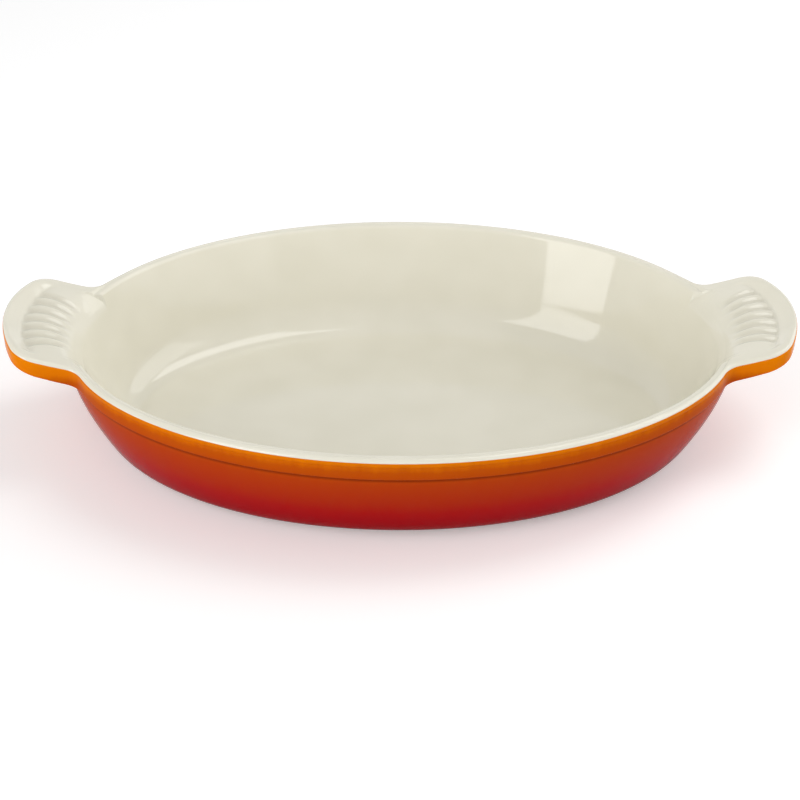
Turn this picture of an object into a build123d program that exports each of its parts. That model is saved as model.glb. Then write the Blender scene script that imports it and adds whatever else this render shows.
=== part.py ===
"""Oval gratin dish in enamelled cast iron, millimetres.

The origin is the centre of the base, +X runs along the length towards one handle, +Z is up.
Every named size is that of the finished, enamelled dish. The casting and the coats of enamel
are the same form drawn at a chosen depth under the finished surface, cut from one another.
"""
from build123d import *
import math
import os

# Finished dish seen from above
overall_length = 356.0
body_length = 304.0
body_width = 207.0
opening_length = 294.0
opening_width = 194.6

# Heights
rim_height = 53.0
floor_thickness = 5.0
handle_rise = 10.6

# Band that runs round under the rim, and the step under it
band_depth = 9.7
band_step = 1.2

# Outside of the wall, bulged, over a rounded base corner
wall_draw = 12.0
bulge_share = 1.44
base_corner_height = 9.8
base_corner_run = 16.1

# Inside of the wall, which leans back more evenly, over a wide cove
inner_draw = 10.0
inner_curve_share = 0.2
cove_height = 14.0
end_cove_run = 16.0
side_cove_run = 23.0

# Lip
lip_outer_round = 2.5
lip_inner_round = 3.0

# Shell handles, which rise from the rim over the rise length
handle_width = 71.4
handle_tip_radius = 64.0
handle_corner_radius = 13.0
handle_junction_radius = 9.0
handle_tip_depth = 8.5
rise_length = 47.5

# Fan of ribs on each handle, lying in a bed that rolls down into the dish
fan_border = 8.0
border_slope_degrees = 38.0
slope_foot_inset = 9.5
slope_foot_drop = 2.0
fan_crest_rise = 5.5
fan_crest_inset = 13.0
fan_roll_radius = 21.0
fan_centre_inset = 83.0
rib_count = 8
rib_pitch = 7.05
groove_radius = 1.3
groove_depth = 0.9
groove_end_margin = 2.0

# Enamel: a ground coat all over, then a cream coat inside and a coloured coat outside
ground_coat_thickness = 0.15
colour_coat_thickness = 0.35
parting_drop = 1.25
parting_margin = 0.5

# Cutting shapes run past the dish by this much
overrun = 10.0

half_length = overall_length / 2
rise_start = half_length - rise_length
wall_depth = rim_height - band_depth - base_corner_height
floor_depth = rim_height - floor_thickness
cove_top_depth = floor_depth - cove_height
inner_lean = math.atan(inner_draw * (1 - inner_curve_share) / (cove_top_depth - lip_inner_round))
lip_foot_depth = lip_inner_round * (1 - math.sin(inner_lean))
crest_z = rim_height + fan_crest_rise
crest_x = half_length - fan_crest_inset
fan_centre_x = half_length - fan_centre_inset
tip_centre_x = half_length - handle_tip_radius


def rim_z(share):
    """Height of the rim edge: level along the body, then rising along the handle by 2 s^2 - s^3."""
    return rim_height + handle_rise * (2 * share**2 - share**3)


def lower_edge_z(share):
    """Height of the lower edge of the band, which thins towards the tip of the handle."""
    eased = min(share, 1) ** 2 * (3 - 2 * min(share, 1))
    return rim_z(share) - band_depth + (band_depth - handle_tip_depth) * eased


def outer_inset(share):
    """How far the outside of the wall has drawn in, at a share of the way down from the band."""
    return wall_draw * share**bulge_share


def inner_inset(share):
    """How far the inside of the wall has drawn in, at a share of the way down from the lip."""
    return inner_draw * ((1 - inner_curve_share) * share + inner_curve_share * share**2)


def oval(half_x, half_y):
    """Level ellipse whose seam lies on the +Y side, away from the handles."""
    return Rot(0, 0, 90) * Ellipse(half_y, half_x)


def stacked_ovals(rows):
    """Smooth solid through level ellipses, each row a half length, a half width and a height."""
    return loft([Pos(0, 0, z) * oval(half_x, half_y) for half_x, half_y, z in rows])


def wall_rows(half_x, half_y, inset, top_depth, turn_depth, bottom_depth, end_run, side_run):
    """Ovals down a wall from top to turn, then round a corner that lands level at the bottom.

    Inset gives the wall's draw at a share of its depth. The corner is a quadratic curve whose
    middle control point is where the wall, carried on straight, would meet the level bottom.
    """
    insets = []
    for share in (0, 0.25, 0.5, 0.75, 1):
        insets.append((inset(share), inset(share), top_depth + share * (turn_depth - top_depth)))
    short_share = 0.01
    slope = (inset(1) - inset(1 - short_share)) / (short_share * (turn_depth - top_depth))
    height = bottom_depth - turn_depth
    for share in (0.25, 0.5, 0.75, 1):
        middle = 2 * share * (1 - share)
        end = share**2
        drawn = inset(1) + middle * height * slope
        insets.append((drawn + end * end_run, drawn + end * side_run, turn_depth + (middle + end) * height))
    return [(half_x - end, half_y - side, rim_height - depth) for end, side, depth in insets]


def bowl(under):
    """Outside of the bowl below the band, with a collar up into the band, sunk by under."""
    half_x = body_length / 2 - band_step - under
    half_y = body_width / 2 - band_step - under
    rows = wall_rows(
        half_x, half_y, outer_inset, band_depth, band_depth + wall_depth,
        rim_height - under, base_corner_run, base_corner_run,
    )
    collar = extrude(oval(half_x, half_y), band_depth / 2)
    return stacked_ovals(rows) + Pos(0, 0, rim_height - band_depth) * collar


def cavity(under):
    """Hollow of the dish with the rounded inner edge of the lip, made wider by under."""
    half_x = opening_length / 2 + under
    half_y = opening_width / 2 + under
    rows = wall_rows(
        half_x, half_y, inner_inset, lip_foot_depth, cove_top_depth,
        floor_depth + under, end_cove_run, side_cove_run,
    )
    lip_radius = lip_inner_round - under
    flare = []
    for share in (0, 0.25, 0.5, 0.75, 1):
        angle = inner_lean + share * (math.pi / 2 - inner_lean)
        out = lip_radius * (math.cos(inner_lean) - math.cos(angle))
        up = lip_radius * (math.sin(angle) - math.sin(inner_lean))
        flare.append((half_x + out, half_y + out, rim_height - lip_foot_depth + up))
    mouth = extrude(oval(*flare[-1][:2]), handle_rise + overrun)
    return stacked_ovals(rows) + stacked_ovals(flare) + Pos(0, 0, flare[-1][2]) * mouth


def between(lower, upper):
    """Region between two side curves, each a height along the rise share, run across the width."""
    shares = (0, 0.25, 0.5, 0.75, 1, 1.25)
    edges = []
    for curve in (lower, upper):
        edges.append(Line((-rise_start, curve(0)), (rise_start, curve(0))))
        for side in (1, -1):
            points = [(side * (rise_start + share * rise_length), curve(share)) for share in shares]
            end_run = points[-1][0] - points[-2][0]
            end_climb = points[-1][1] - points[-2][1]
            edges.append(Spline(points, tangents=[(side, 0), (end_run, end_climb)]))
    for side in (1, -1):
        end_x = side * (rise_start + shares[-1] * rise_length)
        edges.append(Line((end_x, lower(shares[-1])), (end_x, upper(shares[-1]))))
    return extrude(Plane.XZ * make_face(edges), body_width, both=True)


def handle_face(inset):
    """Plan of the handle towards +X, with its outer corners rounded, drawn in by inset."""
    radius = handle_tip_radius - inset
    half_width = handle_width / 2 - inset
    corner_x = tip_centre_x + math.sqrt(radius**2 - half_width**2)
    root_x = rise_start - overrun
    face = make_face([
        Line((root_x, -half_width), (corner_x, -half_width)),
        ThreePointArc((corner_x, -half_width), (tip_centre_x + radius, 0), (corner_x, half_width)),
        Line((corner_x, half_width), (root_x, half_width)),
        Line((root_x, half_width), (root_x, -half_width)),
    ])
    corners = [vertex for vertex in face.vertices() if vertex.X > rise_start]
    return fillet(corners, handle_corner_radius - inset)


def both_ends(shape):
    """The shape and its mirror image at the other end of the dish."""
    return shape + mirror(shape, Plane.YZ)


def outline_column(inset):
    """Tall prism over the plan of body and handles, blended where they meet, drawn in by inset."""
    handles = both_ends(handle_face(inset))
    plan = oval(body_length / 2 - inset, body_width / 2 - inset) + handles
    column = extrude(plan, rim_height + handle_rise + overrun)
    junctions = [
        edge for edge in column.edges().filter_by(Axis.Z) if abs(edge.center().X) < body_length / 2
    ]
    return fillet(junctions, handle_junction_radius + inset)


def is_outer_edge(edge):
    """True for an edge that follows the outline, not one upright or straight across the dish."""
    box = edge.bounding_box().size
    upright = box.Z > max(box.X, box.Y)
    across = edge.geom_type == GeomType.LINE and box.Y > handle_width / 2
    return not upright and not across


def rim_plate(under):
    """Band and handles in one plate that follows the outline, with its outer edges rounded."""
    plate = outline_column(under) & between(
        lambda share: lower_edge_z(share) + under, lambda share: rim_z(share) - under
    )
    outer = [edge for edge in plate.edges() if is_outer_edge(edge)]
    upper = []
    for edge in outer:
        centre = edge.center()
        share = max(abs(centre.X) - rise_start, 0) / rise_length
        if centre.Z > (rim_z(share) + lower_edge_z(share)) / 2:
            upper.append(edge)
    return fillet(upper, lip_outer_round - under)


def roll_axis_x():
    """Centre of the opening's end curve, which the bed of the fan rolls round."""
    return opening_length / 2 - opening_width**2 / (2 * opening_length)


def bed_z(distance):
    """Height of the fan's bed at a distance from the roll axis: an arc that falls into the dish."""
    from_crest = crest_x - roll_axis_x() - distance
    return crest_z - fan_roll_radius + math.sqrt(fan_roll_radius**2 - from_crest**2)


def fan_bed(under):
    """Tool that cuts the bed of the fan into the handle towards +X, deeper by under."""
    top = rim_height + handle_rise + overrun
    outer = half_length - roll_axis_x()
    inner = opening_length / 2 - roll_axis_x()
    middle = (outer + inner) / 2
    arc = ThreePointArc(
        (inner, bed_z(inner) - under), (middle, bed_z(middle) - under), (outer, bed_z(outer) - under)
    )
    section = make_face([
        arc,
        Line((outer, bed_z(outer) - under), (outer, top)),
        Line((outer, top), (inner - overrun, top)),
        Line((inner - overrun, top), (inner - overrun, bed_z(inner) - under)),
        Line((inner - overrun, bed_z(inner) - under), (inner, bed_z(inner) - under)),
    ])
    ring = revolve(Plane.XZ * section, Axis.Z)
    slope = math.radians(border_slope_degrees)
    foot = handle_face(slope_foot_inset - under * math.tan(slope / 2))
    foot = Pos(0, 0, crest_z - slope_foot_drop - under) * foot
    dished = extrude(foot, handle_rise, taper=border_slope_degrees - 90)
    return Pos(roll_axis_x(), 0, 0) * ring & (outline_column(fan_border - under) + dished)


def reach(centre_x, radius, direction_x):
    """Distance from the fan's centre, along a direction, to a circle centred on the X axis."""
    behind = (fan_centre_x - centre_x) * direction_x
    return -behind + math.sqrt(behind**2 + radius**2 - (fan_centre_x - centre_x) ** 2)


def groove(index, under):
    """Round-ended groove between two ribs, on a line from the fan's centre, wider by under."""
    angle = math.atan2(index * rib_pitch, crest_x - fan_centre_x)
    outer = reach(tip_centre_x, handle_tip_radius - fan_border - groove_end_margin, math.cos(angle))
    inner = reach(roll_axis_x(), opening_length / 2 - roll_axis_x(), math.cos(angle))
    points = []
    for run in (outer, (outer + inner) / 2, inner):
        x = fan_centre_x + run * math.cos(angle)
        y = run * math.sin(angle)
        z = bed_z(math.hypot(x - roll_axis_x(), y)) + groove_radius - groove_depth
        points.append((x, y, z))
    path = ThreePointArc(*points)
    section = Plane(origin=path @ 0, z_dir=path % 0) * Circle(groove_radius + under)
    return sweep(section, path) + Pos(*points[0]) * Sphere(groove_radius + under)


def outer_form(under):
    """Band, handles and bowl as one block, not yet hollowed, with its surface sunk by under."""
    return rim_plate(under) + bowl(under)


def dish(under):
    """The whole dish as one form, with its surface sunk by under."""
    form = outer_form(under) - cavity(under)
    bed = fan_bed(under)
    form -= [bed, mirror(bed, Plane.YZ)]
    grooves = []
    for step in range(rib_count + 1):
        tool = groove(step - rib_count / 2, under)
        grooves += [tool, mirror(tool, Plane.YZ)]
    return form - grooves


def skin(outer_under, inner_under):
    """Skin over the outside of the dish, between two depths, up to the parting line."""
    top = rim_height + handle_rise + overrun
    above_parting = between(lambda share: rim_z(share) - parting_drop, lambda share: top)
    return outer_form(outer_under) - outer_form(inner_under) - above_parting


# The pieces, from the iron outwards
enamel_thickness = colour_coat_thickness + ground_coat_thickness
finished = dish(0)
under_colour = dish(colour_coat_thickness)
cast_iron_body = dish(enamel_thickness)
ground_coat = under_colour - cast_iron_body
exterior_enamel = skin(0, colour_coat_thickness)
outside_zone = skin(-parting_margin, (colour_coat_thickness + enamel_thickness) / 2)
interior_enamel = finished - under_colour - outside_zone

os.makedirs("parts", exist_ok=True)
pieces = {
    "cast_iron_body": cast_iron_body,
    "ground_coat": ground_coat,
    "interior_enamel": interior_enamel,
    "exterior_enamel": exterior_enamel,
}
for name, piece in pieces.items():
    export_step(piece, "parts/" + name + ".step")
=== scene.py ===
"""Oval gratin dish in enamelled cast iron, seen as in a catalogue picture.

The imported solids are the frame. The casting, its ground coat and the two coats of coloured enamel
are drawn here as fine surfaces in the same frame: the finished form once, and under it the same
form sunk by the depth of each coat. Forms are worked out in millimetres and meshed in metres.
"""
import math

import bpy
import numpy as np
from mathutils import Matrix, Vector


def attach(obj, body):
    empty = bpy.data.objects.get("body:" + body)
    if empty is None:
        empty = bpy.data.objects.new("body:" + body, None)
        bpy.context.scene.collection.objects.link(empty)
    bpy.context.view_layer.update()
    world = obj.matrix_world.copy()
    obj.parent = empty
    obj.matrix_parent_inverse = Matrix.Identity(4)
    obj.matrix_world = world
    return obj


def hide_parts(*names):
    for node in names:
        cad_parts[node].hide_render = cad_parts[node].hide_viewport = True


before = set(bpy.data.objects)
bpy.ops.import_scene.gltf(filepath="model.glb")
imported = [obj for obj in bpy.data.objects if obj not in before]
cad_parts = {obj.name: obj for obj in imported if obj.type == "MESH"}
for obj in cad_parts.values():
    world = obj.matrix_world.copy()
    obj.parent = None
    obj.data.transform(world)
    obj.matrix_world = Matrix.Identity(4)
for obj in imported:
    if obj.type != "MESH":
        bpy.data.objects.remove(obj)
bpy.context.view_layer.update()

# The casting: one piece of grey cast iron, poured in a sand mould with both shell handles on it.
# It is drawn first, because the enamel follows its form. It shows nowhere on the finished dish:
# it is the finished form sunk by the depth of the two coats of enamel that cover it.
MM = 0.001

# Outline from above: an ellipse with a handle at each end, and lines that cross from it to the
# opening, which aim at a place on the X axis.
HALF_LENGTH = 178.0
BODY = np.array([152.0, 103.5])
HANDLE_HALF_WIDTH = 35.7
TIP_RADIUS = 64.0
CORNER_RADIUS = 13.0
JUNCTION_RADIUS = 9.0
LINES_AIM_X = 130.0
ELLIPSE_SAMPLES = 4001


def smooth_step(low, high, value):
    """Rises smoothly from 0 at low to 1 at high: 3 t^2 - 2 t^3."""
    t = np.clip((value - low) / (high - low), 0, 1)
    return t * t * (3 - 2 * t)


def unit(vectors):
    """The vectors scaled to length one, along the last axis. A zero vector stays zero."""
    return vectors / np.maximum(np.linalg.norm(vectors, axis=-1, keepdims=True), 1e-9)


def quarter_outline(tip_steps, corner_steps, side_steps, junction_steps, body_steps):
    """Outline of one quarter seen from above, from the tip of the handle to the middle of the side.

    The pieces are the arc of the tip, the arc of the corner, the straight side of the handle, the
    hollow arc where it joins the body, and the body's ellipse. Gives points, inward directions and
    for each point the place on the X axis that the lines across the dish aim at.
    """
    reach = TIP_RADIUS - CORNER_RADIUS
    corner_y = HANDLE_HALF_WIDTH - CORNER_RADIUS
    tip_x = HALF_LENGTH - TIP_RADIUS
    corner_angle = math.asin(corner_y / reach)
    corner = np.array([tip_x + reach * math.cos(corner_angle), corner_y])
    t = np.linspace(0, math.pi / 2, ELLIPSE_SAMPLES)
    ring = np.stack([np.cos(t), np.sin(t)], -1)
    ring_out = unit(ring / BODY)
    centres = ring * BODY + JUNCTION_RADIUS * ring_out
    junction_y = HANDLE_HALF_WIDTH + JUNCTION_RADIUS
    join_t = np.interp(junction_y, centres[:, 1], t)
    junction = np.array([np.interp(join_t, t, centres[:, 0]), junction_y])
    join_out = [np.interp(join_t, t, ring_out[:, axis]) for axis in (0, 1)]
    join_angle = math.atan2(join_out[1], join_out[0])

    def arc(centre, radius, start, end, steps):
        """Points of an arc, without its end, and their directions from the centre."""
        angles = np.linspace(start, end, steps, endpoint=False)
        out = np.stack([np.cos(angles), np.sin(angles)], -1)
        return centre + radius * out, out

    tip, tip_out = arc(np.array([tip_x, 0]), TIP_RADIUS, 0, corner_angle, tip_steps)
    bend, bend_out = arc(corner, CORNER_RADIUS, corner_angle, math.pi / 2, corner_steps)
    side_x = np.linspace(corner[0], junction[0], side_steps, endpoint=False)
    side = np.stack([side_x, np.full_like(side_x, HANDLE_HALF_WIDTH)], -1)
    side_out = np.tile([0.0, 1.0], (side_steps, 1))
    hollow, hollow_out = arc(
        junction, JUNCTION_RADIUS, 1.5 * math.pi, math.pi + join_angle, junction_steps,
    )
    body_t = np.linspace(join_t, math.pi / 2, body_steps)
    body = np.stack([np.cos(body_t), np.sin(body_t)], -1)
    points = np.concatenate([tip, bend, side, hollow, body * BODY])
    outward = np.concatenate([tip_out, bend_out, side_out, -hollow_out, unit(body / BODY)])
    steps = np.linalg.norm(np.diff(points, axis=0), axis=1)
    run = np.concatenate([[0], np.cumsum(steps)])
    body_start = len(points) - body_steps
    axis_share = 1 - (BODY[1] / BODY[0]) ** 2
    turn = smooth_step(run[tip_steps + corner_steps // 2], run[body_start], run)
    aim = LINES_AIM_X + (axis_share * points[body_start, 0] - LINES_AIM_X) * turn
    aim[body_start:] = axis_share * points[body_start:, 0]
    return points, -outward, aim


def cross_ellipse(points, aim, half_sizes):
    """Where the line from each point to its aim on the X axis crosses an ellipse: its parameter."""
    away = points - np.stack([aim, np.zeros_like(aim)], -1)
    a = ((away / half_sizes) ** 2).sum(-1)
    b = 2 * aim * away[:, 0] / half_sizes[0] ** 2
    c = (aim / half_sizes[0]) ** 2 - 1
    share = (-b + np.sqrt(b * b - 4 * a * c)) / (2 * a)
    cross = np.stack([aim + share * away[:, 0], share * away[:, 1]], -1)
    return np.arctan2(cross[:, 1] / half_sizes[1], cross[:, 0] / half_sizes[0])


outline, inward, aim = quarter_outline(
    tip_steps=56, corner_steps=22, side_steps=26, junction_steps=24, body_steps=44,
)

# Heights of the rim, which climbs towards the tips of the handles, and of the band under it.
RIM_Z = 53.0
RISE_START = 130.5
HANDLE_RISE = 10.57
BAND_DEPTH = 9.7
TIP_DEPTH = 8.5


def rise_share(x):
    """Share of the way from where the rim starts to rise, 0, to the tip of the handle, 1."""
    return np.maximum(np.abs(x) - RISE_START, 0) / (HALF_LENGTH - RISE_START)


def edge_height(x):
    """Height of the rim over x: level along the body, then rising by 2 s^2 - s^3 on the handles."""
    s = rise_share(x)
    return RIM_Z + HANDLE_RISE * (2 * s**2 - s**3)


def band_foot(x):
    """Height of the lower edge of the band over x, which nears the rim towards the tip."""
    thinner = (BAND_DEPTH - TIP_DEPTH) * smooth_step(0, 1, rise_share(x))
    return edge_height(x) - BAND_DEPTH + thinner


def row(plan, height):
    """Points in space over plan points."""
    return np.concatenate([plan, np.broadcast_to(height, plan.shape[:1])[:, None]], -1)


def on_ellipse(parameter, half_x, half_y):
    """Plan points on an ellipse at the given parameters."""
    return np.stack([half_x * np.cos(parameter), half_y * np.sin(parameter)], -1)


outline_z = edge_height(outline[:, 0])

# Outside: the rounded edge, the band with its fine bead line, the undersides of the handles with
# a fillet to the wall, the bulged wall, the round of the base and the flat base. The bead line is
# given by its depth at drops below the edge's round, and it fades out where the handles start.
LIP_ROUND = 2.5
PARTING_DROP = 1.25
PARTING_ANGLE = math.asin((LIP_ROUND - PARTING_DROP) / LIP_ROUND)
BEAD_LINE = ((0.4, 0.0), (0.8, 0.42), (1.2, 0.48), (1.7, 0.18), (2.6, 0.05), (4.2, 0.0))
BEAD_FADE = 8.0
BAND_ROUND = 1.2
BAND_STEP = 1.2
HANDLE_FILLET = 5.0
FILLET_SHARE = 0.3
UNDERSIDE_START = 0.08
WALL_DRAW = 12.0
BULGE = 1.44
BASE_CORNER_HEIGHT = 9.8
BASE_CORNER_RUN = 16.1
BASE_SHARES = (0.97, 0.85, 0.6, 0.35, 0.12)
EDGE_RINGS, BAND_ROUND_RINGS, UNDERSIDE_RINGS, FILLET_RINGS = 5, 8, 12, 8
WALL_RINGS, BASE_CORNER_RINGS = 16, 14


def outside_rows():
    """Rings from the cream enamel's edge, down the band, under the handle and down the wall.

    The wall draws in by the share of its height to the power of the bulge. The round of the base
    is a quadratic curve that starts along the wall and lands level.
    """
    rows = []
    for angle in np.linspace(PARTING_ANGLE, 0, EDGE_RINGS):
        plan = outline + inward * LIP_ROUND * (1 - math.cos(angle))
        rows.append(row(plan, outline_z - LIP_ROUND * (1 - math.sin(angle))))
    on_body = 1 - smooth_step(RISE_START - BEAD_FADE, RISE_START + BEAD_FADE, outline[:, 0])
    for drop, depth in BEAD_LINE:
        plan = outline + inward * (depth * on_body)[:, None]
        rows.append(row(plan, outline_z - LIP_ROUND - drop))
    bottom = band_foot(outline[:, 0]) + BAND_ROUND
    for angle in np.linspace(0, math.pi / 2, BAND_ROUND_RINGS):
        plan = outline + inward * BAND_ROUND * (1 - math.cos(angle))
        rows.append(row(plan, bottom - BAND_ROUND * math.sin(angle)))
    wall = BODY - BAND_STEP
    wall_t = cross_ellipse(outline, aim, wall)
    foot = on_ellipse(wall_t, *wall)
    edge = outline + inward * BAND_ROUND
    span = np.linalg.norm(foot - edge, axis=-1)
    fillet = np.minimum(HANDLE_FILLET, FILLET_SHARE * span)
    toward = unit(foot - edge)
    fillet_start = foot - toward * fillet[:, None]
    for share in np.linspace(UNDERSIDE_START, 1, UNDERSIDE_RINGS):
        plan = edge + (fillet_start - edge) * share
        rows.append(row(plan, band_foot(plan[:, 0])))
    for angle in np.linspace(0, math.pi / 2, FILLET_RINGS + 1)[1:]:
        plan = fillet_start + toward * fillet[:, None] * math.sin(angle)
        rows.append(row(plan, band_foot(plan[:, 0]) - fillet * (1 - math.cos(angle))))
    wall_top = band_foot(foot[:, 0]) - fillet
    wall_height = RIM_Z - BAND_DEPTH - BASE_CORNER_HEIGHT
    for share in np.linspace(0, 1, WALL_RINGS + 1)[1:]:
        z = wall_top + (BASE_CORNER_HEIGHT - wall_top) * share
        drawn = WALL_DRAW * np.maximum((RIM_Z - BAND_DEPTH - z) / wall_height, 0) ** BULGE
        rows.append(row(on_ellipse(wall_t, wall[0] - drawn, wall[1] - drawn), z))
    slope = WALL_DRAW * BULGE / wall_height
    for share in np.linspace(0, 1, BASE_CORNER_RINGS + 1)[1:]:
        middle, end = 2 * share * (1 - share), share**2
        drawn = WALL_DRAW + middle * BASE_CORNER_HEIGHT * slope + end * BASE_CORNER_RUN
        z = BASE_CORNER_HEIGHT * (1 - middle - end)
        rows.append(row(on_ellipse(wall_t, *(wall - drawn)), z))
    base = wall - WALL_DRAW - BASE_CORNER_RUN
    for share in BASE_SHARES:
        rows.append(row(on_ellipse(wall_t, *(base * share)), 0))
    return np.array(rows)


# Inside: the round of the lip, the leaning wall, the wide cove and the flat floor.
OPENING = np.array([147.0, 97.3])
LIP_INNER_ROUND = 3.0
PAST_LIP_SLOPE = 1.5
INNER_DRAW = 12.0
FLOOR_Z = 5.0
COVE_Z = 19.0
COVE_RUN = np.array([14.0, 21.0])
FLOOR_SHARES = (0.96, 0.85, 0.65, 0.42, 0.2, 0.06)
INNER_LEAN = math.atan(INNER_DRAW / (RIM_Z - COVE_Z - LIP_INNER_ROUND))
LIP_FOOT_Z = RIM_Z - LIP_INNER_ROUND * (1 - math.sin(INNER_LEAN))

# Top of the handles: a border slopes down to the bed of the fan, which rolls over a crest into the
# dish. The grooves between the ribs run along rays from the fan's centre. They fade in over insets
# from the outline and fade out over distances from the opening. Off the handles the bed is lifted
# out of the way. Heights blend over the given widths where they cross.
HANDLE_BORDER = 7.5
BODY_BORDER = 3.0
BORDER_WIDENING = 18.0
MOST_OF_RIM = 0.62
SLOPE_FOOT_INSET = 9.5
SLOPE_FOOT_Z = 56.5
BORDER_SLOPE = math.tan(math.radians(38.0))
CREST_Z = 58.5
CREST_X = 165.0
ROLL_RADIUS = 21.0
ROLL_AXIS_X = OPENING[0] - OPENING[1] ** 2 / OPENING[0]
ROLL_FROM, ROLL_TO = -6.0, 20.5
FAN_CENTRE_X = 95.0
RIB_PITCH = 7.05
LAST_GROOVE = 3.5
GROOVE_DEPTH = 0.85
GROOVE_FADE_IN = (6.5, 9.5)
GROOVE_FADE_OUT = (1.0, 8.0)
BED_START_X = (126.5, 136.5)
BED_LIFT = 8.0
BED_BLEND = 0.5
EDGE_BLEND = 0.8
RIM_RINGS, BORDER_RINGS, BED_RINGS, INNER_WALL_RINGS, COVE_RINGS = 9, 8, 40, 13, 14


def outside_opening(plan):
    """How far plan points lie outside the opening's ellipse, found by three Newton steps."""
    out = np.zeros(len(plan))
    for _ in range(3):
        sizes = OPENING + out[:, None]
        value = ((plan / sizes) ** 2).sum(-1) - 1
        slope = -2 * (plan**2 / sizes**3).sum(-1)
        out = out - value / slope
    return out


def soft_lower(first, second, width):
    """The lower of two heights, blended over a width where they cross."""
    near = np.clip(0.5 + 0.5 * (second - first) / width, 0, 1)
    return second + (first - second) * near - width * near * (1 - near)


def roll_height(plan):
    """Height of the fan's smooth roll, an arc about the roll axis, over plan points."""
    from_axis = np.hypot(np.abs(plan[:, 0]) - ROLL_AXIS_X, plan[:, 1])
    from_crest = np.clip(CREST_X - ROLL_AXIS_X - from_axis, ROLL_FROM, ROLL_TO)
    return CREST_Z - ROLL_RADIUS + np.sqrt(ROLL_RADIUS**2 - from_crest**2)


def rib_number(plan):
    """How many ribs plan points lie from the handle's middle, along rays from the fan's centre."""
    ray = np.abs(plan[:, 1]) / np.maximum(np.abs(plan[:, 0]) - FAN_CENTRE_X, 1)
    return ray * (CREST_X - FAN_CENTRE_X) / RIB_PITCH


def top_height(plan, inset):
    """Height of the cream top over plan points at an inset from the outline.

    It is the lowest of the rounded rim, the slope that falls from the handle's edge to the fan,
    the fan's roll with its cosine grooves, and the round of the inner lip.
    """
    across = np.clip(1 - inset / LIP_ROUND, 0, 1)
    rim = edge_height(plan[:, 0]) - LIP_ROUND * (1 - np.sqrt(1 - across**2))
    slope = SLOPE_FOOT_Z + (SLOPE_FOOT_INSET - inset) * BORDER_SLOPE
    rib = rib_number(plan)
    grooves = np.where(rib < LAST_GROOVE, np.cos(math.pi * rib) ** 2, 0)
    out = outside_opening(plan)
    fade = smooth_step(*GROOVE_FADE_IN, inset) * smooth_step(*GROOVE_FADE_OUT, out)
    bed = roll_height(plan) - GROOVE_DEPTH * grooves * fade
    sloped = np.maximum(bed, slope)
    bed = np.where(inset < HANDLE_BORDER, sloped, soft_lower(bed, sloped, BED_BLEND))
    bed = bed + BED_LIFT * (1 - smooth_step(*BED_START_X, np.abs(plan[:, 0])))
    fan = soft_lower(rim, bed, EDGE_BLEND)
    lip_angle = np.arccos(np.clip(math.cos(INNER_LEAN) - out / LIP_INNER_ROUND, 0, 1))
    lip = LIP_FOOT_Z + LIP_INNER_ROUND * (np.sin(lip_angle) - math.sin(INNER_LEAN))
    past_lip = np.maximum(out - LIP_INNER_ROUND * math.cos(INNER_LEAN), 0)
    return soft_lower(fan, lip + past_lip * PAST_LIP_SLOPE, EDGE_BLEND)


def inside_rows():
    """Rings from the cream enamel's edge, over rim and fan, down wall and cove to the floor.

    The wall leans evenly. The cove is a quadratic curve that starts along it and lands level.
    """
    rows = []
    for angle in np.linspace(PARTING_ANGLE, math.pi / 2, RIM_RINGS):
        inset = np.full(len(outline), LIP_ROUND * (1 - math.cos(angle)))
        plan = outline + inward * inset[:, None]
        rows.append(row(plan, top_height(plan, inset)))
    rows[0][:, 2] = outline_z - PARTING_DROP
    widened = smooth_step(RISE_START, RISE_START + BORDER_WIDENING, outline[:, 0])
    border = BODY_BORDER + (HANDLE_BORDER - BODY_BORDER) * widened
    border = np.minimum(border, MOST_OF_RIM * outside_opening(outline))
    for share in np.linspace(0, 1, BORDER_RINGS + 1)[1:]:
        inset = LIP_ROUND + (border - LIP_ROUND) * share
        plan = outline + inward * inset[:, None]
        rows.append(row(plan, top_height(plan, inset)))
    edge = outline + inward * border[:, None]
    opening_t = cross_ellipse(edge, aim, OPENING)
    brink = on_ellipse(opening_t, *OPENING)
    span = np.linalg.norm(brink - edge, axis=-1)
    for share in np.linspace(1, 0, BED_RINGS + 1)[1:]:
        part = widened * share + (1 - widened) * (1 - math.cos(share * math.pi / 2))
        plan = brink + (edge - brink) * part[:, None]
        rows.append(row(plan, top_height(plan, border + span * (1 - part))))
    brink_z = rows[-1][:, 2]
    for share in np.linspace(0, 1, INNER_WALL_RINGS + 1)[1:]:
        z = brink_z + (COVE_Z - brink_z) * share
        drawn = INNER_DRAW * np.maximum((LIP_FOOT_Z - z) / (LIP_FOOT_Z - COVE_Z), 0)
        rows.append(row(on_ellipse(opening_t, OPENING[0] - drawn, OPENING[1] - drawn), z))
    slope = INNER_DRAW / (LIP_FOOT_Z - COVE_Z)
    cove_height = COVE_Z - FLOOR_Z
    for share in np.linspace(0, 1, COVE_RINGS + 1)[1:]:
        middle, end = 2 * share * (1 - share), share**2
        drawn = INNER_DRAW + middle * cove_height * slope + end * COVE_RUN
        z = COVE_Z - (middle + end) * cove_height
        rows.append(row(on_ellipse(opening_t, *(OPENING - drawn)), z))
    floor = OPENING - INNER_DRAW - COVE_RUN
    for share in FLOOR_SHARES:
        rows.append(row(on_ellipse(opening_t, *(floor * share)), FLOOR_Z))
    return np.array(rows)


def all_round(quarter):
    """Rows over one quarter, mirrored to all four and joined to rings that run anticlockwise."""
    left, both, below = np.array([-1, 1, 1]), np.array([-1, -1, 1]), np.array([1, -1, 1])
    return np.concatenate([
        quarter, quarter[:, -2::-1] * left, quarter[:, 1:] * both, quarter[:, -2:0:-1] * below,
    ], 1)


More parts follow.
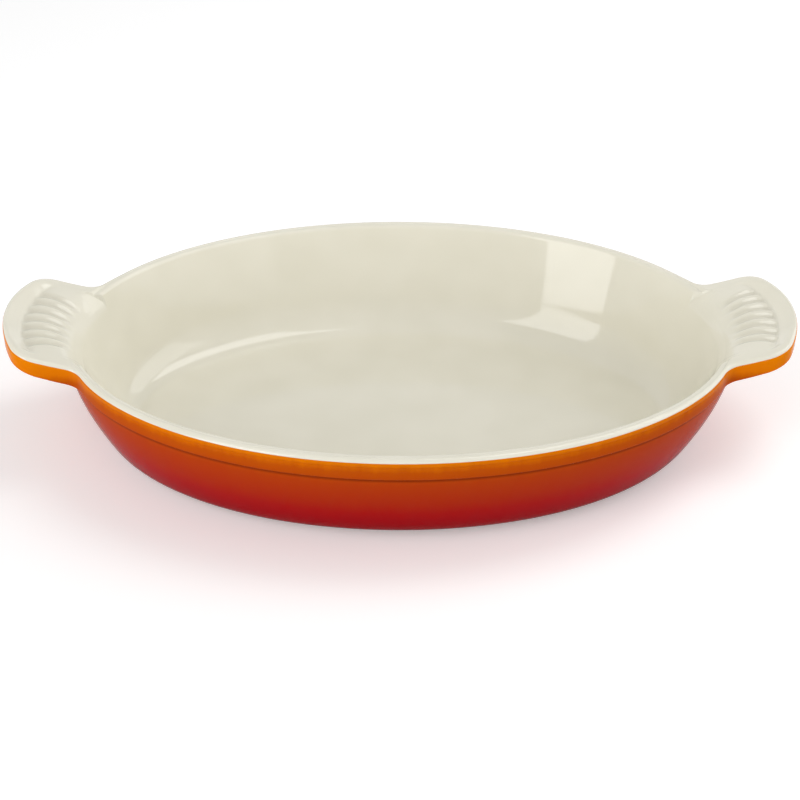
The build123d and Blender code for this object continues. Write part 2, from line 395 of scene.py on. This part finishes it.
# The finished form, from the middle of the base out to the parting of the two coloured enamels
# and in to the middle of the floor. Rings closer than a few hundredths count as lying together.
outside = all_round(outside_rows())[::-1]
inside = all_round(inside_rows())
finished = np.concatenate([outside, inside[1:]])
parting = len(outside) - 1
RINGS_APART = 0.03


def facing(rings):
    """Normals of a surface of rings: the steps round a ring crossed with the steps between rings.

    Where rings lie on one another, it is the middle between the normals on both sides of them.
    """
    around = np.roll(rings, -1, 1) - np.roll(rings, 1, 1)
    onward = np.gradient(rings, axis=0)
    normals = unit(np.cross(around, onward))
    apart = np.linalg.norm(onward, axis=-1) > RINGS_APART
    number = np.arange(len(rings))[:, None]
    before = np.maximum.accumulate(np.where(apart, number, 0), 0)
    after = np.minimum.accumulate(np.where(apart, number, len(rings) - 1)[::-1], 0)[::-1]
    column = np.arange(rings.shape[1])
    return unit(normals[before, column] + normals[after, column])


out_of_iron = facing(finished)


def sunk(depth):
    """The finished form with every point moved into the iron along its own normal."""
    return finished - depth * out_of_iron


def rings_piece(name, *runs):
    """A piece made of closed surfaces, each a run of rings with a middle point at both ends.

    Neighbouring rings are joined by quads and the end rings by a fan of triangles.
    """
    points, faces, start = [], [], 0
    for rings in runs:
        last, count = len(rings) - 1, rings.shape[1]
        index = start + np.arange((last + 1) * count).reshape(-1, count)
        after = np.roll(index, -1, 1)
        quads = np.stack([index[:-1], after[:-1], after[1:], index[1:]], -1).reshape(-1, 4)
        first_middle, last_middle = index[-1, -1] + 1, index[-1, -1] + 2
        first_fan = np.stack([after[0], index[0], np.full(count, first_middle)], -1)
        last_fan = np.stack([index[last], after[last], np.full(count, last_middle)], -1)
        middles = [rings[0].mean(0) * [0, 0, 1], rings[last].mean(0) * [0, 0, 1]]
        points.append(np.concatenate([rings.reshape(-1, 3), middles]))
        faces += quads.tolist() + first_fan.tolist() + last_fan.tolist()
        start = last_middle + 1
    mesh = bpy.data.meshes.new(name)
    mesh.from_pydata((np.concatenate(points) * MM).tolist(), [], faces)
    mesh.polygons.foreach_set("use_smooth", np.ones(len(mesh.polygons), bool))
    mesh.update()
    piece = bpy.data.objects.new(name, mesh)
    bpy.context.scene.collection.objects.link(piece)
    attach(piece, "root")
    return piece


# The iron and the ground coat are out of sight, so they keep only some of the form's points: all
# where the handles join the body and over rim and fan, and fewer elsewhere.
COLOUR_COAT = 0.35
GROUND_COAT = 0.15
JUNCTION_FROM_X, JUNCTION_TO_X, JUNCTION_FROM_Y = 130.0, 165.0, 28.0
edge_x, edge_y = np.abs(finished[parting, :, :2]).T
at_junctions = (edge_x > JUNCTION_FROM_X) & (edge_x < JUNCTION_TO_X) & (edge_y > JUNCTION_FROM_Y)
hidden_columns = np.flatnonzero(at_junctions | (np.arange(len(at_junctions)) % 2 == 0))
below_lip = parting + RIM_RINGS + BORDER_RINGS + BED_RINGS + 1
hidden_rings = np.r_[0:parting:2, parting:below_lip, below_lip:len(finished):3]
hidden = np.ix_(hidden_rings, hidden_columns)
casting = rings_piece("iron_casting", sunk(COLOUR_COAT + GROUND_COAT)[hidden])
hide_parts("cast_iron_body")


def linear_colour(hex_code):
    """An sRGB hex colour as linear red, green, blue and full alpha."""
    srgb = np.array([int(hex_code[i:i + 2], 16) for i in (1, 3, 5)]) / 255
    linear = np.where(srgb <= 0.04045, srgb / 12.92, ((srgb + 0.055) / 1.055) ** 2.4)
    return (*linear, 1.0)


def add_node(material, kind, settings=None, sockets=None):
    """Adds a shader node, sets its settings, and sets or links its sockets by name or number."""
    tree = material.node_tree
    node = tree.nodes.new("ShaderNode" + kind)
    for name, value in (settings or {}).items():
        setattr(node, name, value)
    for name, value in (sockets or {}).items():
        if isinstance(value, bpy.types.NodeSocket):
            tree.links.new(value, node.inputs[name])
        else:
            node.inputs[name].default_value = value
    return node


def new_material(name):
    """An empty material."""
    material = bpy.data.materials.new(name)
    material.use_nodes = True
    material.node_tree.nodes.clear()
    return material


def colour_ramp(material, factor, stops):
    """Colour at a factor from 0 to 1, read between stops of position and hex colour."""
    ramp = add_node(material, "ValToRGB", sockets={"Fac": factor})
    elements = ramp.color_ramp.elements
    while len(elements) < len(stops):
        elements.new(0.5)
    for element, (position, hex_code) in zip(elements, stops):
        element.position = position
        element.color = linear_colour(hex_code)
    return ramp.outputs["Color"]


def finish_material(material, surface):
    """Puts a shader on the material's output."""
    add_node(material, "OutputMaterial", sockets={"Surface": surface})


# Sand-cast grey iron: dark and dull, with pits about as large as the sand grains, 0.4 mm.
sand_cast_iron = new_material("sand_cast_grey_iron")
place = add_node(sand_cast_iron, "TexCoord").outputs["Object"]
SAND_GRAIN = 0.0004
grain = add_node(sand_cast_iron, "TexNoise", sockets={
    "Vector": place, "Scale": 1 / SAND_GRAIN / 2, "Detail": 3.0,
})
iron_colour = colour_ramp(sand_cast_iron, grain.outputs["Fac"], [
    (0.3, "#2b2b2d"), (0.7, "#3d3d3f"),
])
iron_bump = add_node(sand_cast_iron, "Bump", sockets={
    "Height": grain.outputs["Fac"], "Distance": 0.0001, "Strength": 0.5,
})
iron_shader = add_node(sand_cast_iron, "BsdfPrincipled", sockets={
    "Base Color": iron_colour, "Metallic": 0.6, "Roughness": 0.62,
    "Normal": iron_bump.outputs["Normal"],
})
finish_material(sand_cast_iron, iron_shader.outputs["BSDF"])
casting.data.materials.append(sand_cast_iron)

# The ground coat: a thin, nearly black enamel that is fired onto the iron first, so that the
# coloured enamel grips. It is covered all over by the coloured coats.
coat_face = sunk(COLOUR_COAT)[hidden]
coat_back = sunk(COLOUR_COAT + GROUND_COAT)[hidden][::-1]
coated = rings_piece("ground_coat_of_enamel", coat_face, coat_back)
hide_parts("ground_coat")

# Ground enamel: nearly black and half glossy, with specks about 1.5 mm across.
ground_enamel = new_material("ground_coat_enamel")
place = add_node(ground_enamel, "TexCoord").outputs["Object"]
SPECKLE = 0.0015
speckle = add_node(ground_enamel, "TexNoise", sockets={
    "Vector": place, "Scale": 1 / SPECKLE / 2, "Detail": 2.0,
})
ground_colour = colour_ramp(ground_enamel, speckle.outputs["Fac"], [
    (0.35, "#171517"), (0.7, "#262326"),
])
ground_shader = add_node(ground_enamel, "BsdfPrincipled", sockets={
    "Base Color": ground_colour, "Roughness": 0.3, "IOR": 1.5,
})
finish_material(ground_enamel, ground_shader.outputs["BSDF"])
coated.data.materials.append(ground_enamel)

# The outside enamel: glossy vitreous enamel, sprayed on and fired. It covers the underside, the
# wall, the band under the rim and the outer edge of the handles, up to the cream enamel's edge.
BACK_STEP = 2
face = finished[:parting + 1]
back = sunk(COLOUR_COAT)[:parting + 1][::-BACK_STEP]
exterior = rings_piece("exterior_enamel_coat", np.concatenate([face, back]))
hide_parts("exterior_enamel")


def mark_points(piece, name, amount):
    """Stores on each point of a mesh a number worked out from its place in millimetres."""
    places = np.empty(3 * len(piece.data.vertices), np.float32)
    piece.data.vertices.foreach_get("co", places)
    marks = piece.data.attributes.new(name, "FLOAT", "POINT")
    marks.data.foreach_set("value", amount(places.reshape(-1, 3) / MM).astype(np.float32))


def below_band(places):
    """How far points lie below the lower edge of the band."""
    return band_foot(places[:, 0]) - places[:, 2]


mark_points(exterior, "mm_under_band", below_band)

# Vitreous enamel over cast iron, shaded from orange at the rim to deep red at the base by the
# spray gun. The eye sees a smooth coat with a very slight waviness, each swell about 8 mm across,
# and faint upright streaks about 3 mm wide where the red was sprayed over the orange. Over some
# 2 mm in the crease under the band, the colour is darkened by painted shade. Its gloss is held far
# below a real glaze's, because the white floor would wash the reds out.
flame_enamel = new_material("flame_shaded_vitreous_enamel")
place = add_node(flame_enamel, "TexCoord").outputs["Object"]
height = add_node(flame_enamel, "SeparateXYZ", sockets={"Vector": place}).outputs["Z"]
STREAK = 0.003
STREAK_SHIFT = 0.0008
FLAME_TOP = 0.064
streak_place = add_node(flame_enamel, "Mapping", sockets={
    "Vector": place, "Scale": (1.0, 1.0, 0.12),
})
streaks = add_node(flame_enamel, "TexNoise", sockets={
    "Vector": streak_place.outputs["Vector"], "Scale": 1 / STREAK / 2, "Detail": 3.0,
    "Roughness": 0.6,
})
uneven = add_node(flame_enamel, "MapRange", sockets={
    "Value": streaks.outputs["Fac"], "From Min": 0.3, "From Max": 0.7,
    "To Min": -STREAK_SHIFT, "To Max": STREAK_SHIFT,
})
moved = add_node(flame_enamel, "Math", {"operation": "ADD"}, {
    0: height, 1: uneven.outputs["Result"],
})
share_up = add_node(flame_enamel, "MapRange", sockets={
    "Value": moved.outputs["Value"], "From Min": 0.0, "From Max": FLAME_TOP,
    "To Min": 0.0, "To Max": 1.0,
})
flame_colour = colour_ramp(flame_enamel, share_up.outputs["Result"], [
    (0.0, "#8c000c"), (0.22, "#a2000b"), (0.31, "#a90e0b"), (0.43, "#ac290c"),
    (0.62, "#b03b0a"), (0.74, "#b94f05"), (0.80, "#da7302"), (1.0, "#ec8802"),
])
# Painted shade: the colour darkens towards #4a1206 in a strip about 2 mm deep just under the band.
below = add_node(flame_enamel, "Attribute", {"attribute_name": "mm_under_band"}).outputs["Fac"]
crease_starts = add_node(flame_enamel, "MapRange", sockets={
    "Value": below, "From Min": 0.03, "From Max": 0.4, "To Min": 0.0, "To Max": 0.5,
})
crease_ends = add_node(flame_enamel, "MapRange", sockets={
    "Value": below, "From Min": 0.9, "From Max": 2.0, "To Min": 1.0, "To Max": 0.0,
})
crease_shade = add_node(flame_enamel, "Math", {"operation": "MULTIPLY"}, {
    0: crease_starts.outputs["Result"], 1: crease_ends.outputs["Result"],
})
crease_shaded_colour = add_node(flame_enamel, "Mix", {"data_type": "RGBA"}, {
    0: crease_shade.outputs["Value"], 6: flame_colour, 7: linear_colour("#4a1206"),
}).outputs[2]
WAVE = 0.008
wave = add_node(flame_enamel, "TexNoise", sockets={
    "Vector": place, "Scale": 1 / WAVE / 2, "Detail": 1.0,
})
flame_bump = add_node(flame_enamel, "Bump", sockets={
    "Height": wave.outputs["Fac"], "Distance": 0.0002, "Strength": 0.35,
})
flame_shader = add_node(flame_enamel, "BsdfPrincipled", sockets={
    "Base Color": crease_shaded_colour, "Roughness": 0.07, "IOR": 1.5, "Specular IOR Level": 0.025,
    "Normal": flame_bump.outputs["Normal"],
})
finish_material(flame_enamel, flame_shader.outputs["BSDF"])
exterior.data.materials.append(flame_enamel)

# The inside enamel: smooth cream vitreous enamel, sprayed on and fired over the lip, the tops of
# the two shell handles with their fan of ribs, the leaning wall, the wide cove and the floor.
face = finished[parting:]
back = sunk(COLOUR_COAT)[parting:][::BACK_STEP][::-1]
interior = rings_piece("interior_enamel_coat", np.concatenate([back, face]))
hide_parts("interior_enamel")


def groove_share(places):
    """How deep points lie in the grooves, as a share of the full depth below the smooth roll."""
    depth = np.clip((roll_height(places) - places[:, 2]) / GROOVE_DEPTH, 0, 1)
    clear_of_lip = smooth_step(*GROOVE_FADE_OUT, outside_opening(places[:, :2]))
    return depth * (clear_of_lip * (rib_number(places) < LAST_GROOVE))


mark_points(interior, "groove_share", groove_share)

# Cream vitreous enamel, fired glassy: warm off-white and even, with a soft clear gloss and a slight
# waviness, each swell about 12 mm across, that makes reflections swim a little. In the grooves of
# the fans the colour is darkened by painted shade, more where they are deeper.
cream_enamel = new_material("cream_vitreous_enamel")
place = add_node(cream_enamel, "TexCoord").outputs["Object"]
CREAM_WAVE = 0.012
GROOVE_SHADE = 0.5
cream_wave = add_node(cream_enamel, "TexNoise", sockets={
    "Vector": place, "Scale": 1 / CREAM_WAVE / 2, "Detail": 1.0,
})
cream_colour = colour_ramp(cream_enamel, cream_wave.outputs["Fac"], [
    (0.3, "#e3dfce"), (0.7, "#e7e3d3"),
])
# Painted shade: the grooves of the fans are darkened towards #cac5b2 by how deep they are.
in_groove = add_node(cream_enamel, "Attribute", {"attribute_name": "groove_share"}).outputs["Fac"]
groove_shade_amount = add_node(cream_enamel, "Math", {"operation": "MULTIPLY"}, {
    0: in_groove, 1: GROOVE_SHADE,
})
groove_shaded_cream = add_node(cream_enamel, "Mix", {"data_type": "RGBA"}, {
    0: groove_shade_amount.outputs["Value"], 6: cream_colour, 7: linear_colour("#cac5b2"),
}).outputs[2]
cream_bump = add_node(cream_enamel, "Bump", sockets={
    "Height": cream_wave.outputs["Fac"], "Distance": 0.0002, "Strength": 0.25,
})
cream_shader = add_node(cream_enamel, "BsdfPrincipled", sockets={
    "Base Color": groove_shaded_cream, "Roughness": 0.06, "IOR": 1.5,
    "Normal": cream_bump.outputs["Normal"],
})
finish_material(cream_enamel, cream_shader.outputs["BSDF"])
interior.data.materials.append(cream_enamel)

# The floor: a plain matt white table that keeps the dish's shadow. It lies 0.2 mm under the base,
# so that the two faces don't coincide, and the camera sees it a little lighter than it is.
FLOOR_HALF = 4.0
FLOOR_DROP = 0.0002
CAMERA_LIFT = 0.26
floor_mesh = bpy.data.meshes.new("studio_floor")
corners = [(-1, -1), (1, -1), (1, 1), (-1, 1)]
floor_mesh.from_pydata(
    [(x * FLOOR_HALF, y * FLOOR_HALF, -FLOOR_DROP) for x, y in corners], [], [(0, 1, 2, 3)],
)
floor = bpy.data.objects.new("studio_floor", floor_mesh)
bpy.context.scene.collection.objects.link(floor)
white_table = new_material("white_table")
table_matt = add_node(white_table, "BsdfDiffuse", sockets={"Color": linear_colour("#f4f4f4")})
seen = add_node(white_table, "LightPath").outputs["Is Camera Ray"]
lift = add_node(white_table, "Math", {"operation": "MULTIPLY"}, {0: seen, 1: CAMERA_LIFT})
table_glow = add_node(white_table, "Emission", sockets={
    "Color": (1.0, 1.0, 1.0, 1.0), "Strength": lift.outputs["Value"],
})
table_both = add_node(white_table, "AddShader", sockets={
    0: table_matt.outputs[0], 1: table_glow.outputs[0],
})
finish_material(white_table, table_both.outputs[0])
floor_mesh.materials.append(white_table)

# The studio: a white surround wherever it is seen or mirrored. It lights the dish more from its
# walls than from its ceiling. Two window-like soft boxes and a broad panel light the dish too.
WALL_UP_TO, CEILING_FROM = 0.1, 0.7
WALL_LIGHT, CEILING_LIGHT = 1.15, 0.3
world = bpy.data.worlds.new("studio")
bpy.context.scene.world = world
world.use_nodes = True
world.node_tree.nodes.clear()
path = add_node(world, "LightPath").outputs
seen_or_mirrored = add_node(world, "Math", {"operation": "MAXIMUM"}, {
    0: path["Is Camera Ray"], 1: path["Is Glossy Ray"],
})
shown = add_node(world, "Math", {"operation": "MAXIMUM"}, {
    0: seen_or_mirrored.outputs[0], 1: path["Is Transmission Ray"],
})
direction = add_node(world, "TexCoord").outputs["Generated"]
upward = add_node(world, "SeparateXYZ", sockets={0: direction}).outputs["Z"]
lit_walls = add_node(world, "MapRange", sockets={
    "Value": upward, "From Min": WALL_UP_TO, "From Max": CEILING_FROM,
    "To Min": WALL_LIGHT, "To Max": CEILING_LIGHT,
})
strength = add_node(world, "Math", {"operation": "MAXIMUM"}, {
    0: shown.outputs[0], 1: lit_walls.outputs["Result"],
})
surround = add_node(world, "Background", sockets={
    "Color": (1.0, 1.0, 1.0, 1.0), "Strength": strength.outputs["Value"],
})
add_node(world, "OutputWorld", sockets={"Surface": surround.outputs["Background"]})


def soft_box(name, azimuth, elevation, distance, width, height_of_box, power):
    """A rectangular lamp facing the dish, with angles in degrees, sizes in metres, power in watts.

    Azimuth 0 is in front of the dish, where the camera stands, and 90 is to its right.
    """
    a, e = math.radians(azimuth), math.radians(elevation)
    back = Vector((math.sin(a) * math.cos(e), -math.cos(a) * math.cos(e), math.sin(e)))
    data = bpy.data.lights.new(name, "AREA")
    data.shape = "RECTANGLE"
    data.size, data.size_y = width, height_of_box
    data.energy = power
    lamp = bpy.data.objects.new(name, data)
    lamp.location = back * distance
    lamp.rotation_euler = (-back).to_track_quat("-Z", "Y").to_euler()
    bpy.context.scene.collection.objects.link(lamp)


soft_box("tall_window", -45, 27, 1.5, 0.62, 1.75, 10.5)
soft_box("high_window", 118, 66, 1.5, 0.6, 0.8, 4.6)
soft_box("side_panel", 100, 32, 1.5, 1.6, 0.9, 6.5)

# The camera: a long lens from the front, a little to the left, looking down at about 34 degrees.
# It is turned by just under a degree about its own line of sight.
ELEVATION, AZIMUTH, ROLL = (math.radians(angle) for angle in (34.15, -2.22, 0.90))
CAMERA_DISTANCE = 0.750
CAMERA_AIM = Vector((-0.00037, 0, 0.01292))
LENS, SENSOR_WIDTH = 72.135, 36.0
forward = -Vector((
    math.sin(AZIMUTH) * math.cos(ELEVATION), -math.cos(AZIMUTH) * math.cos(ELEVATION),
    math.sin(ELEVATION),
))
right = Vector((math.cos(AZIMUTH), math.sin(AZIMUTH), 0))
up = right.cross(forward)
turned_right = right * math.cos(ROLL) + up * math.sin(ROLL)
turned_up = up * math.cos(ROLL) - right * math.sin(ROLL)
camera_data = bpy.data.cameras.new("camera")
camera_data.lens = LENS
camera_data.sensor_width = SENSOR_WIDTH
camera = bpy.data.objects.new("camera", camera_data)
facing_dish = Matrix((turned_right, turned_up, -forward)).transposed().to_4x4()
camera.matrix_world = Matrix.Translation(CAMERA_AIM - forward * CAMERA_DISTANCE) @ facing_dish
bpy.context.scene.collection.objects.link(camera)
bpy.context.scene.camera = camera
bpy.context.scene.view_settings.view_transform = "Standard"
